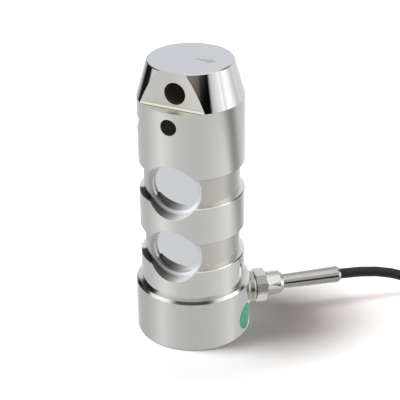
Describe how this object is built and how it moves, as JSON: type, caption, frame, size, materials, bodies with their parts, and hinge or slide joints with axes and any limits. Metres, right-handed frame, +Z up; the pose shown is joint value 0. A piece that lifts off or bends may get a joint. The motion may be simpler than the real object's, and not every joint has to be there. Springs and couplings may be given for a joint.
{
  "type": "shear pin load cell",
  "caption": "Stainless load-sensing clevis pin with shear grooves, sealed strain gauge pockets, a collar head and a side cable gland.",
  "frame": {"origin": "centre of the collar's base face, on the pin's own axis", "axes": "+Z up the pin from the collar to the tapered nose, +X the load direction marked by the arrow on the nose, -Y and +Y out of the gauge pockets"},
  "size_m": [0.2119, 0.1002, 0.1398],
  "materials": {
    "turned_steel": "fine turned and polished",
    "fitting_steel": "bright turned",
    "washer_steel": "bright",
    "cap_steel": "fine turned",
    "screw_steel": "bright",
    "brass_standoff": "bright",
    "seal_rubber": "smooth",
    "board_laminate": "solder mask",
    "resistor_body": "lacquered",
    "post_brass": "tinned",
    "cable_jacket": "satin black",
    "core_wrap": "tape wrap",
    "boot_sleeve": "shrunk sleeve",
    "label_film": "printed film",
    "lead_red": "insulation",
    "lead_black": "insulation",
    "lead_green": "insulation",
    "lead_white": "insulation",
    "gauge_leads": "enamelled",
    "cover_mirror": "mirror polished",
    "gauge_foil": "polyimide film",
    "terminal_foil": "copper pads on film"
  },
  "bodies": {
    "root": {"board_screws": "screw_steel", "board_standoffs": "brass_standoff", "bridge_board": "board_laminate", "cable_boot": "boot_sleeve", "cable_coil": "cable_jacket", "cable_inner": "cable_jacket", "cable_run": "cable_jacket", "cable_sleeve": "fitting_steel", "cap_screws": "screw_steel", "cap_seal": "seal_rubber", "collar_label": "label_film", "core_bundle": "core_wrap", "cover_front_lower": "cover_mirror", "cover_front_upper": "cover_mirror", "cover_rear_lower": "cover_mirror", "cover_rear_upper": "cover_mirror", "gauge_front_lower": "gauge_foil", "gauge_front_upper": "gauge_foil", "gauge_rear_lower": "gauge_foil", "gauge_rear_upper": "gauge_foil", "gland_body": "fitting_steel", "gland_boss": "turned_steel", "gland_nut": "fitting_steel", "gland_seal": "seal_rubber", "gland_washer": "washer_steel", "head_cap": "cap_steel", "lead_black": "lead_black", "lead_bundle_front": "gauge_leads", "lead_bundle_rear": "gauge_leads", "lead_green": "lead_green", "lead_red": "lead_red", "lead_white": "lead_white", "pin_body": "turned_steel", "terminal_front_lower": "terminal_foil", "terminal_front_upper": "terminal_foil", "terminal_posts": "post_brass", "terminal_rear_lower": "terminal_foil", "terminal_rear_upper": "terminal_foil", "trim_resistors": "resistor_body"}
  },
  "joints": []
}
